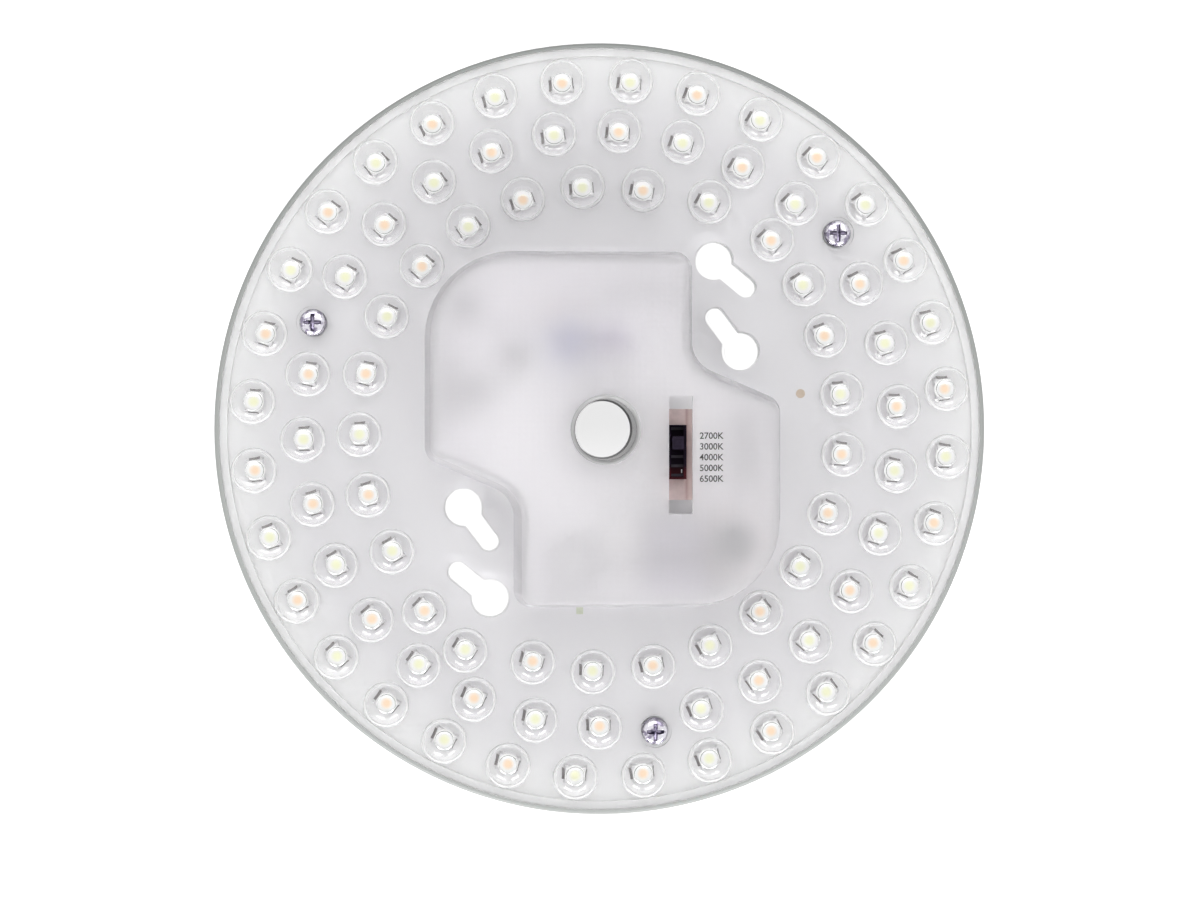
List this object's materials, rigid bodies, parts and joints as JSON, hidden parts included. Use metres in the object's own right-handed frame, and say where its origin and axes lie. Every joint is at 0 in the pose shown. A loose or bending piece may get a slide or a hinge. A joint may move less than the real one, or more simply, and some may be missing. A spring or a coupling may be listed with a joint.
{
  "type": "led ceiling light module",
  "caption": "Round surface-mount LED light module with a clear lens cover, a square dome over its driver, keyhole slots, a centre hole and a slide switch for the light colour.",
  "frame": {"origin": "centre of the flat back face of the base plate", "axes": "+Z out of the light side, away from the ceiling; +Y the top of the face as pictured; +X its right side"},
  "size_m": [0.169, 0.169, 0.0175],
  "materials": {
    "plate_enamel": "gloss",
    "board_white": "satin white mask",
    "clear_plastic": "clear",
    "screw_steel": "bright",
    "led_white": "satin",
    "phosphor_warm": "satin",
    "phosphor_cool": "satin",
    "grommet_rubber": "matt",
    "terminal_plastic": "matt",
    "tinned_metal": "bright",
    "fuse_tube": "satin",
    "varistor_blue": "satin",
    "film_violet": "satin",
    "chip_black": "matt",
    "ferrite": "matt",
    "copper_wire": "enamelled",
    "can_sleeve": "sleeved",
    "resistor_black": "satin",
    "capacitor_tan": "satin",
    "riser_brown": "satin",
    "header_black": "matt",
    "pin_brass": "bright",
    "switch_black": "matt",
    "knob_plastic": "matt"
  },
  "bodies": {
    "module": {"base_plate": "plate_enamel", "led_board": "board_white", "lens_cover": "clear_plastic", "cover_screws": "screw_steel", "warm_led_packages": "led_white", "warm_led_phosphor": "phosphor_warm", "cool_led_packages": "led_white", "cool_led_phosphor": "phosphor_cool", "wire_grommet": "grommet_rubber", "terminal_block": "terminal_plastic", "supply_terminals": "tinned_metal", "supply_fuse": "fuse_tube", "fuse_caps": "tinned_metal", "varistor": "varistor_blue", "varistor_leads": "tinned_metal", "filter_capacitor": "film_violet", "bridge_rectifier": "chip_black", "choke_core": "ferrite", "choke_winding": "copper_wire", "reservoir_capacitors": "can_sleeve", "driver_chips": "chip_black", "diodes": "chip_black", "chip_resistors": "resistor_black", "chip_capacitors": "capacitor_tan", "switch_riser_board": "riser_brown", "riser_headers": "header_black", "riser_pins": "pin_brass", "switch_housing": "switch_black", "switch_terminals": "tinned_metal"},
    "colour_slider": {"switch_knob": "knob_plastic", "switch_wiper": "pin_brass"}
  },
  "joints": [
    {"name": "switch_slide", "type": "slide", "parent": "module", "child": "colour_slider", "axis": [0, 1, 0], "range_m": [-0.006, 0.002]}
  ]
}
